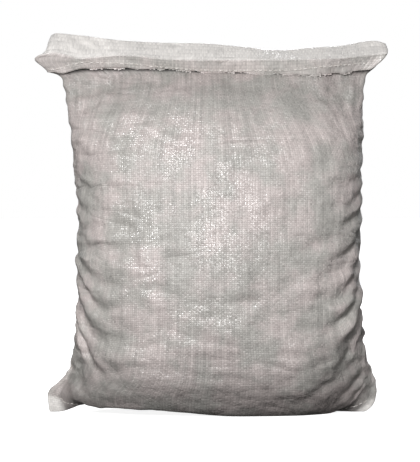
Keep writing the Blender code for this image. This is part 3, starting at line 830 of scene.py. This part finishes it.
def small_moves(mesh, moves):
    """The moves without most of their even, far-reaching part, so that the sack keeps its outline."""
    ends = np.array([edge.vertices for edge in mesh.edges])
    whole = np.array(moves)
    even = whole.copy()
    count = np.bincount(ends.ravel(), minlength=len(whole))[:, None] + 1
    for _ in range(EVEN_ROUNDS):
        total = even.copy()
        np.add.at(total, ends[:, 0], even[ends[:, 1]])
        np.add.at(total, ends[:, 1], even[ends[:, 0]])
        even = total / count
    return [Vector(move) for move in whole - even * EVEN_SHARE]


def settle_cloth(sack):
    """Lets the real cloth buckle: its sides are longer than the filled sack is tall there."""
    start = [v.co.copy() for v in sack.data.vertices]
    sack.shape_key_add(name="filled")
    flat = sack.shape_key_add(name="flat")
    flat_at = sack.data.attributes["flat_at"].data
    for point, spot in zip(flat.data, flat_at):
        point.co = spot.vector
    held = sack.vertex_groups.new(name="held")
    for vertex, spot in zip(sack.data.vertices, sack.data.attributes["hold"].data):
        held.add([vertex.index], spot.value, "REPLACE")
    cloth = sack.modifiers.new("cloth", "CLOTH")
    for name, value in CLOTH_SETTINGS.items():
        setattr(cloth.settings, name, value)
    cloth.settings.vertex_group_mass = "held"
    cloth.settings.rest_shape_key = flat
    cloth.settings.effector_weights.gravity = 0.0
    cloth.collision_settings.use_collision = False
    cloth.point_cache.frame_start = 1
    cloth.point_cache.frame_end = CLOTH_FRAMES
    for frame_number in range(1, CLOTH_FRAMES + 1):
        bpy.context.scene.frame_set(frame_number)
    shaped = sack.evaluated_get(bpy.context.evaluated_depsgraph_get()).data
    found = [v.co.copy() for v in shaped.vertices]
    bpy.context.scene.frame_set(1)
    sack.modifiers.remove(cloth)
    sack.shape_key_clear()
    folds = small_moves(sack.data, [b - a for a, b in zip(start, found)])
    for vertex, a, move in zip(sack.data.vertices, start, folds):
        far = max(move.length, 1e-9)
        calm = mix(CLOTH_CALM, 1.0, smooth_step(CALM_LOW, CALM_HIGH, a.z))
        vertex.co = a + move * min(1.0, CLOTH_CAP / far) * calm


def refine(sack):
    """Subdivides the settled cloth once and lets the stones behind it show as small lumps and ridges."""
    smooth = sack.modifiers.new("finer", "SUBSURF")
    smooth.levels = 1
    smooth.render_levels = 1
    fine = bpy.data.meshes.new_from_object(sack.evaluated_get(bpy.context.evaluated_depsgraph_get()))
    sack.modifiers.remove(smooth)
    sack.data = fine
    stone_tone_and_shade = [spot.value for spot in fine.attributes["stone_tone_and_shade"].data]
    normals = [spot.vector.copy() for spot in fine.vertex_normals]
    for vertex, normal, share in zip(fine.vertices, normals, stone_tone_and_shade):
        stone = vertex.co / STONE_SIZE
        lump = noise.noise(stone) + STONE_COARSE_SHARE * noise.noise(stone * STONE_COARSE + STONE_PLACE)
        x, y, z = vertex.co
        line = (x / CRINKLE_LONG + CRINKLE_PLACE, y / CRINKLE_LONG, z / CRINKLE_HIGH + x / CRINKLE_SLANT)
        ridge = CRINKLE_EDGE - abs(noise.noise(Vector(line)))
        more = smooth_step(*CRINKLE_SIDE, abs(x)) + CRINKLE_LOW * smooth_step(*CRINKLE_BASE, z)
        move = STONE * lump + CRINKLE * ridge * (CRINKLE_LEAST + more)
        vertex.co += normal * move * share * smooth_step(*STONE_FLOOR, z)


def fray_chance(name, tape):
    slice_at, step, place_at = FRAY_CHANCES[name]
    return chance(slice_at, tape * step, place_at)


def frayed_edge(cloth):
    """Loose tape ends along the flap's cut edge, each a thin strip hanging down a little way."""
    shape = bmesh.new()
    uv = shape.loops.layers.uv.new("cloth")
    stone_tone_and_shade = shape.verts.layers.float.new("stone_tone_and_shade")
    count = round((FRAY_RIGHT - FRAY_LEFT) / TAPE_WIDTH)
    for i in range(count):
        x = FRAY_LEFT + i * TAPE_WIDTH
        length = mix(FRAY_SHORT, FRAY_LONG, abs(fray_chance("length", i)) * 2)
        length *= smooth_step(*FRAY_PATCHES, fray_chance("patches", i))
        if length < FRAY_SHORT:
            continue
        edge = hem_point(x / HALF, 0.0, -1)
        turn = Matrix.Rotation(FRAY_TURN * fray_chance("turn", i), 4, "Y")
        turn = turn @ Matrix.Rotation(FRAY_LEAN * fray_chance("lean", i) - FRAY_HANG, 4, "X")
        size = Matrix.Diagonal((TAPE_WIDTH * FRAY_WIDTH, FRAY_THICKNESS, length + FRAY_ROOT, 1.0))
        spot = Matrix.Translation(edge + Vector((0.0, FLAP_EDGE / 2, FRAY_ROOT / 2 - length / 2)))
        strip = bmesh.ops.create_cube(shape, size=1.0, matrix=spot @ turn @ size)
        for vertex in strip["verts"]:
            vertex[stone_tone_and_shade] = 1.0
            for loop in vertex.link_loops:
                loop[uv].uv = (vertex.co.x, vertex.co.z)
    mesh = bpy.data.meshes.new("frayed_tape_ends")
    shape.to_mesh(mesh)
    shape.free()
    mesh.materials.append(cloth)
    return add_object("frayed_tape_ends", mesh)


# Stitches


def surface_at(tree, x, z, side):
    """The point of the sack's face at x, z, seen from the front (side -1) or the back."""
    hit, normal, _, _ = tree.ray_cast(Vector((x, side * FAR_OUT, z)), Vector((0.0, -side, 0.0)))
    return hit, normal


def stitch_curve(name, points, thread):
    curve = bpy.data.curves.new(name, "CURVE")
    curve.dimensions = "3D"
    curve.bevel_depth = THREAD / 2
    curve.bevel_resolution = 2
    curve.use_fill_caps = True
    spline = curve.splines.new("POLY")
    spline.points.add(len(points) - 1)
    for spot, point in zip(spline.points, points):
        spot.co = (*point, 1.0)
    curve.materials.append(thread)
    return add_object(name, curve)


def top_stitches(tree, side, thread):
    """The needle thread on the front, in even dashes, or the looper's chain on the back."""
    points = []
    count = round((SEAM_RIGHT - SEAM_LEFT) / STITCH)
    for i in range(count):
        for part, out in STITCH_PROFILE:
            x = SEAM_LEFT + (i + part) * STITCH
            share = x / HALF
            z = hem_height(share, 1.0) + STITCH_STRAY * math.sin(STITCH_PACE * i)
            if side > 0:
                z += LOOP_WAVE * math.sin(2 * math.pi * part)
                out = max(out, LOOP_HEIGHT)
            hit, normal = surface_at(tree, x, z, side)
            if hit is not None:
                points.append(hit + normal * out)
    name = "top_seam_front_stitches" if side < 0 else "top_seam_back_stitches"
    made = stitch_curve(name, points, thread)
    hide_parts("top_seam_front_thread" if side < 0 else "top_seam_back_thread")
    return made


def bottom_stitches(tree, thread):
    """The bottom seam's needle thread, from one corner's tip to the other, under the base between."""
    seam = TAIL_FOLD - TAIL_WIDTH
    seam_row = Row("base", seam, 0.0, TAIL_WIDTH, 0.0, GROOVE_DEPTH)
    line = []
    for i in range(SEAM_STEPS + 1):
        share = mix(-THREAD_END, THREAD_END, i / SEAM_STEPS)
        line.append(place_on_filling(share, seam_row, -1))
    path = [(p.x, p.y, p.z) for p in line]
    lengths = [0.0]
    for a, b in zip(path, path[1:]):
        lengths.append(lengths[-1] + math.dist(a, b))
    points = []
    count = round(lengths[-1] / STITCH)
    for i in range(count):
        for part, out in STITCH_PROFILE:
            wanted = lengths[-1] * (i + part) / count
            span = next((k for k in range(1, len(path)) if lengths[k] >= wanted), len(path) - 1)
            share = (wanted - lengths[span - 1]) / (lengths[span] - lengths[span - 1])
            spot = line[span - 1].lerp(line[span], share)
            near, normal, _, _ = tree.find_nearest(spot)
            point = near + normal * out
            point.z = max(point.z, THREAD / 2)
            points.append(point)
    made = stitch_curve("bottom_seam_stitches", points, thread)
    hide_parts("bottom_seam_thread")
    return made


# Materials


def linear(code):
    """A hex sRGB colour as linear RGBA."""
    parts = [int(code[i : i + 2], 16) / 255 for i in (1, 3, 5)]
    return tuple(c / 12.92 if c <= 0.04045 else ((c + 0.055) / 1.055) ** 2.4 for c in parts) + (1.0,)


def add_node(tree, kind, inputs=None, **settings):
    """Adds a node with its settings. inputs gives each socket a value, or another node's output."""
    made = tree.nodes.new(kind)
    for name, value in settings.items():
        setattr(made, name, value)
    for socket, value in (inputs or {}).items():
        if isinstance(value, bpy.types.NodeSocket):
            tree.links.new(value, made.inputs[socket])
        else:
            made.inputs[socket].default_value = value
    return made.outputs[0]


def woven_tape_cloth():
    """Woven polypropylene: stretched film tapes 2.8 mm wide, over and under each other.

    It gives the eye a fine square weave with upright streaks and painted shade where the tapes dip, a satin
    sheen with glints where single tapes happen to lie at the right angle, and greyer, matter cloth where
    stones and dust lie behind it. Painted shade greys it more on the flap below its crease, round the base,
    at the floor, under the hem and in the slit.
    """
    made = bpy.data.materials.new("woven_polypropylene_tape")
    made.use_nodes = True
    tree = made.node_tree
    shader = tree.nodes["Principled BSDF"]
    math_node = "ShaderNodeMath"

    # Where in the weave: which tape and which row, and how far across each
    flat = add_node(tree, "ShaderNodeUVMap", uv_map="cloth")
    split = add_node(tree, "ShaderNodeSeparateXYZ", {0: flat}).node
    across = add_node(tree, math_node, {0: split.outputs[0], 1: 1 / TAPE_WIDTH}, operation="MULTIPLY")
    up = add_node(tree, math_node, {0: split.outputs[1], 1: 1 / TAPE_HEIGHT}, operation="MULTIPLY")
    tape = add_node(tree, math_node, {0: across}, operation="FLOOR")
    row = add_node(tree, math_node, {0: up}, operation="FLOOR")
    in_tape = add_node(tree, math_node, {0: across}, operation="FRACT")
    in_row = add_node(tree, math_node, {0: up}, operation="FRACT")
    cell_sum = add_node(tree, math_node, {0: tape, 1: row}, operation="ADD")
    even_sum = add_node(tree, math_node, {0: cell_sum, 1: EVEN_START}, operation="ADD")
    over = add_node(tree, math_node, {0: even_sum, 1: 2.0}, operation="MODULO")

    # Each tape arches over the one below it
    half_turn_up = add_node(tree, math_node, {0: in_row, 1: math.pi}, operation="MULTIPLY")
    half_turn_across = add_node(tree, math_node, {0: in_tape, 1: math.pi}, operation="MULTIPLY")
    hump_up = add_node(tree, math_node, {0: half_turn_up}, operation="SINE")
    hump_across = add_node(tree, math_node, {0: half_turn_across}, operation="SINE")
    crown_up = add_node(tree, math_node, {0: hump_up, 1: 0.5}, operation="POWER")
    crown_across = add_node(tree, math_node, {0: hump_across, 1: 0.5}, operation="POWER")
    warp = add_node(tree, math_node, {0: hump_up, 1: crown_across}, operation="MULTIPLY")
    weft = add_node(tree, math_node, {0: hump_across, 1: crown_up}, operation="MULTIPLY")
    weave = add_node(tree, "ShaderNodeMix", {0: over, 2: weft, 3: warp})

    # Each tape's own slight tilt, which makes the glints
    cell = add_node(tree, "ShaderNodeCombineXYZ", {0: tape, 1: row})
    luck = add_node(tree, "ShaderNodeTexWhiteNoise", {0: cell}, noise_dimensions="2D").node
    tilt = add_node(tree, "ShaderNodeSeparateXYZ", {0: luck.outputs["Color"]}).node
    from_middle = add_node(tree, math_node, {0: in_tape, 1: 0.5}, operation="SUBTRACT")
    from_middle_up = add_node(tree, math_node, {0: in_row, 1: 0.5}, operation="SUBTRACT")
    tilt_across = add_node(tree, math_node, {0: tilt.outputs[0], 1: 0.5}, operation="SUBTRACT")
    tilt_up = add_node(tree, math_node, {0: tilt.outputs[1], 1: 0.5}, operation="SUBTRACT")
    lean_across = add_node(tree, math_node, {0: from_middle, 1: tilt_across}, operation="MULTIPLY")
    both_ways = {0: from_middle_up, 1: tilt_up, 2: lean_across}
    lean = add_node(tree, math_node, both_ways, operation="MULTIPLY_ADD")
    steep = add_node(tree, math_node, {0: lean, 1: 0.75}, operation="MULTIPLY")
    height = add_node(tree, math_node, {0: weave, 1: 0.20, 2: steep}, operation="MULTIPLY_ADD")
    stones = add_node(tree, "ShaderNodeTexCoord").node.outputs["Object"]
    pebble = add_node(tree, "ShaderNodeTexNoise", {"Vector": stones, "Scale": PEBBLES, "Detail": 2.0})
    lumpy = add_node(tree, math_node, {0: pebble, 1: 1.2, 2: height}, operation="MULTIPLY_ADD")

    # Pressed creases, about 30 mm apart, sharp at the bottom
    slanting = {"Vector": stones, "Rotation": (0.0, PRESSED_SLANT, 0.0), "Scale": PRESSED_LINES}
    lines = {"Vector": add_node(tree, "ShaderNodeMapping", slanting), "Scale": 1.0, "Detail": 1.0}
    wavy = add_node(tree, "ShaderNodeTexNoise", {**lines, "Distortion": 0.7})
    off_line = add_node(tree, math_node, {0: wavy, 1: 0.5}, operation="SUBTRACT")
    valley = add_node(tree, math_node, {0: off_line}, operation="ABSOLUTE")
    creased = add_node(tree, "ShaderNodeTexNoise", {"Vector": stones, "Scale": CREASED_AREAS, "Detail": 1.0})
    harder = {"Value": creased, "From Min": 0.42, "From Max": 0.62, "To Min": 1.0, "To Max": 9.0}
    strength = add_node(tree, "ShaderNodeMapRange", harder)
    crinkle = add_node(tree, math_node, {0: valley, 1: strength, 2: lumpy}, operation="MULTIPLY_ADD")
    bump = add_node(tree, "ShaderNodeBump", {"Distance": 0.001, "Strength": 1.0, "Height": crinkle})
    tree.links.new(bump, shader.inputs["Normal"])

    # Tone: upright streaks tape by tape, fainter ones along the rows, soft patches, painted shade where the
    # tapes dip, and dust with painted shade
    # Stones' tone, with painted shade on the flap below its crease.
    stone_tone_and_shade = add_node(tree, "ShaderNodeAttribute", attribute_name="stone_tone_and_shade").node.outputs["Fac"]
    # Dust, and painted shade round the base, at the floor, under the hem and in the slit.
    dust_and_shade = add_node(tree, "ShaderNodeAttribute", attribute_name="dust_and_shade").node.outputs["Fac"]
    tape_place = add_node(tree, math_node, {0: tape, 1: 7.31}, operation="MULTIPLY")
    tape_length = add_node(tree, math_node, {0: split.outputs[1], 1: STREAKS}, operation="MULTIPLY")
    streak_at = add_node(tree, "ShaderNodeCombineXYZ", {0: tape_place, 1: tape_length})
    streaky = {"Vector": streak_at, "Scale": 1.0, "Detail": 1.0}
    streak = add_node(tree, "ShaderNodeTexNoise", streaky, noise_dimensions="2D")
    row_place = add_node(tree, math_node, {0: row, 1: 5.17}, operation="MULTIPLY")
    row_length = add_node(tree, math_node, {0: split.outputs[0], 1: STREAKS}, operation="MULTIPLY")
    row_at = add_node(tree, "ShaderNodeCombineXYZ", {0: row_length, 1: row_place})
    row_streaky = {"Vector": row_at, "Scale": 1.0, "Detail": 1.0}
    row_streak = add_node(tree, "ShaderNodeTexNoise", row_streaky, noise_dimensions="2D")
    blotchy = {"Vector": stones, "Scale": BLOTCHES, "Detail": 4.0, "Roughness": 0.6}
    blotches = add_node(tree, "ShaderNodeTexNoise", blotchy)
    clear_patches = {"Value": blotches, "From Min": 0.38, "From Max": 0.62}
    patches = add_node(tree, "ShaderNodeMapRange", clear_patches, interpolation_type="SMOOTHSTEP")
    streak_part = add_node(tree, math_node, {0: stone_tone_and_shade, 1: 0.38, 2: 0.10}, operation="MULTIPLY_ADD")
    streak_off = add_node(tree, math_node, {0: streak, 1: 0.5}, operation="SUBTRACT")
    tone = add_node(tree, math_node, {0: streak_off, 1: streak_part, 2: 1.0}, operation="MULTIPLY_ADD")
    # Painted shade where the tapes dip under each other, stronger over the stones.
    groove_shade = add_node(tree, math_node, {0: stone_tone_and_shade, 1: 0.11, 2: 0.06}, operation="MULTIPLY_ADD")
    weave_off = add_node(tree, math_node, {0: weave, 1: 0.65}, operation="SUBTRACT")
    for part, amount, start in (
        (add_node(tree, math_node, {0: weave_off, 1: groove_shade}, operation="MULTIPLY"), 1.0, 1.0),
        (row_streak, 0.06, 0.97),
        (patches, 0.09, 0.955),
        (over, 0.07, 0.965),
        (tilt.outputs[2], 0.12, 0.94),
        # Greyer with dust, and with painted shade round the base, at the floor, under the hem and in the
        # slit.
        (dust_and_shade, -0.43, 1.0),
    ):
        share = add_node(tree, math_node, {0: part, 1: amount, 2: start}, operation="MULTIPLY_ADD")
        tone = add_node(tree, math_node, {0: tone, 1: share}, operation="MULTIPLY")
    greys = {0: patches, 6: linear("#BAB7B2"), 7: linear("#C6BCB9")}
    grey_cloth = add_node(tree, "ShaderNodeMix", greys, data_type="RGBA").node.outputs[2]
    # White where no stones lie behind; the flap's face below its crease is grey as painted shade.
    colours = {0: stone_tone_and_shade, 6: linear("#F4F0EC"), 7: grey_cloth}
    colour = add_node(tree, "ShaderNodeMix", colours, data_type="RGBA").node.outputs[2]
    grey = add_node(tree, "ShaderNodeCombineXYZ", {0: tone, 1: tone, 2: tone})
    toned = {0: 1.0, 6: colour, 7: grey}
    shade = add_node(tree, "ShaderNodeMix", toned, data_type="RGBA", blend_type="MULTIPLY")
    tree.links.new(shade.node.outputs[2], shader.inputs["Base Color"])

    # Gloss: glossy film with rubbed, dusty, matter patches
    shader.inputs["Specular IOR Level"].default_value = 0.50
    wearing = {"Vector": stones, "Scale": WORN_AREAS, "Detail": 3.0, "Roughness": 0.65}
    worn = add_node(tree, "ShaderNodeTexNoise", wearing)
    rubbed = {"Value": worn, "From Min": 0.44, "From Max": 0.53, "To Min": 0.24, "To Max": 0.0}
    matt = add_node(tree, "ShaderNodeMapRange", rubbed)
    spread = add_node(tree, math_node, {0: luck.outputs["Value"], 1: 0.7}, operation="POWER")
    gloss = add_node(tree, math_node, {0: spread, 1: 0.25, 2: 0.12}, operation="MULTIPLY_ADD")
    rough = add_node(tree, math_node, {0: gloss, 1: matt}, operation="ADD")
    rougher = add_node(tree, math_node, {0: dust_and_shade, 1: 0.25, 2: rough}, operation="MULTIPLY_ADD")
    tree.links.new(rougher, shader.inputs["Roughness"])
    return made


def sewing_thread():
    """Spun polyester: soft matt white, with painted shade in the grooves of its twist.

    The real twist is 0.6 mm long, under half a pixel. It is drawn 2 mm long, so that it shows.
    """
    made = bpy.data.materials.new("spun_polyester_thread")
    made.use_nodes = True
    tree = made.node_tree
    shader = tree.nodes["Principled BSDF"]
    spot = add_node(tree, "ShaderNodeTexCoord").node.outputs["Object"]
    turns = {"Vector": spot, "Scale": 0.1 / THREAD_TWIST, "Distortion": 0.5}
    twist = add_node(tree, "ShaderNodeTexWave", turns, bands_direction="DIAGONAL").node.outputs["Fac"]
    # Painted shade: the twist's grooves are drawn greyer.
    tones = {0: twist, 6: linear("#C9C3BD"), 7: linear("#ECE8E4")}
    colour = add_node(tree, "ShaderNodeMix", tones, data_type="RGBA").node.outputs[2]
    tree.links.new(colour, shader.inputs["Base Color"])
    bump = add_node(tree, "ShaderNodeBump", {"Distance": 0.0002, "Strength": 0.8, "Height": twist})
    tree.links.new(bump, shader.inputs["Normal"])
    shader.inputs["Roughness"].default_value = 0.85
    shader.inputs["Specular IOR Level"].default_value = 0.3
    return made


# Studio


def add_camera():
    data = bpy.data.cameras.new("camera")
    data.sensor_fit = "VERTICAL"
    data.sensor_height = SENSOR
    data.lens = SENSOR * DISTANCE / (FRAME_HEIGHT * PIXEL)
    camera = add_object("camera", data)
    across, up = (FRAME_WIDTH / 2 - CENTRE_X) * PIXEL, (FLOOR_ROW - FRAME_HEIGHT / 2) * PIXEL
    target = Vector((across, 0.0, up))
    away = Vector((0.0, -math.cos(ELEVATION), math.sin(ELEVATION)))
    camera.location = target + away * DISTANCE
    camera.rotation_euler = (math.pi / 2 - ELEVATION, 0.0, 0.0)
    bpy.context.scene.camera = camera


def area_light(name, spot, aim, size, power):
    data = bpy.data.lights.new(name, "AREA")
    data.shape = "DISK"
    data.size = size
    data.energy = power
    lamp = add_object(name, data)
    lamp.location = spot
    lamp.rotation_euler = (Vector(aim) - Vector(spot)).to_track_quat("-Z", "Y").to_euler()


def add_stage():
    """Matt white paper: an even white ground, with a soft shadow close to the sack.

    Only the camera sees it pale and lit. The sack gets almost no light back from it.
    """
    shape = bmesh.new()
    bmesh.ops.create_grid(shape, x_segments=1, y_segments=1, size=FLOOR_HALF)
    mesh = bpy.data.meshes.new("floor")
    shape.to_mesh(mesh)
    shape.free()
    floor = add_object("floor", mesh)
    made = bpy.data.materials.new("matt_white_paper")
    made.use_nodes = True
    tree = made.node_tree
    shader = tree.nodes["Principled BSDF"]
    shader.inputs["Roughness"].default_value = 0.9
    seen = add_node(tree, "ShaderNodeLightPath").node.outputs["Is Camera Ray"]
    pale = add_node(tree, "ShaderNodeMapRange", {"Value": seen, "To Min": 0.07, "To Max": 0.8})
    tree.links.new(pale, shader.inputs["Base Color"])
    spot = add_node(tree, "ShaderNodeTexCoord").node.outputs["Object"]
    far = add_node(tree, "ShaderNodeVectorMath", {0: spot}, operation="LENGTH").node.outputs["Value"]
    outward = {"Value": far, "From Min": 0.35, "From Max": 0.9, "To Min": 0.88, "To Max": 1.0}
    level = add_node(tree, "ShaderNodeMapRange", outward)
    glow = add_node(tree, "ShaderNodeMath", {0: seen, 1: level}, operation="MULTIPLY")
    shader.inputs["Emission Color"].default_value = (1.0, 1.0, 1.0, 1.0)
    tree.links.new(glow, shader.inputs["Emission Strength"])
    mesh.materials.append(made)


def add_world():
    """A white surround where it is seen, straight or in a reflection, and a dim even light on the sack."""
    world = bpy.data.worlds.new("studio")
    bpy.context.scene.world = world
    world.use_nodes = True
    tree = world.node_tree
    backdrop = tree.nodes["Background"]
    path = add_node(tree, "ShaderNodeLightPath").node
    seen = path.outputs["Is Camera Ray"]
    for ray in ("Is Glossy Ray", "Is Transmission Ray"):
        seen = add_node(tree, "ShaderNodeMath", {0: seen, 1: path.outputs[ray]}, operation="MAXIMUM")
    strength = add_node(tree, "ShaderNodeMapRange", {"Value": seen, "To Min": 0.04, "To Max": 1.0})
    backdrop.inputs["Color"].default_value = (1.0, 1.0, 1.0, 1.0)
    tree.links.new(strength, backdrop.inputs["Strength"])


def main():
    add_camera()
    add_world()
    add_stage()
    for lamp in LAMPS:
        area_light(*lamp)
    bpy.context.scene.view_settings.view_transform = "Standard"
    sack = build_sack()
    settle_cloth(sack)
    refine(sack)
    cloth = woven_tape_cloth()
    sack.data.materials.append(cloth)
    ends = frayed_edge(cloth)
    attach(ends, "root")
    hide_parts("filled_sack")
    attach(sack, "root")
    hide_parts("filled_sack")
    points = [vertex.co for vertex in sack.data.vertices]
    tree = BVHTree.FromPolygons(points, [face.vertices for face in sack.data.polygons])
    thread = sewing_thread()
    stitches = [top_stitches(tree, side, thread) for side in (-1, 1)] + [bottom_stitches(tree, thread)]
    for made in stitches:
        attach(made, "root")


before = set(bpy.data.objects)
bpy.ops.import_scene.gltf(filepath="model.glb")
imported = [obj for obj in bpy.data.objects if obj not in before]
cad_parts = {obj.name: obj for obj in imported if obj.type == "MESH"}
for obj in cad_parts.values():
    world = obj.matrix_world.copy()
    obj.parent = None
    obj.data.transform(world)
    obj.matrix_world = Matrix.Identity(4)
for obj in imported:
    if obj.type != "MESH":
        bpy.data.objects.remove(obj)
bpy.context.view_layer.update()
main()
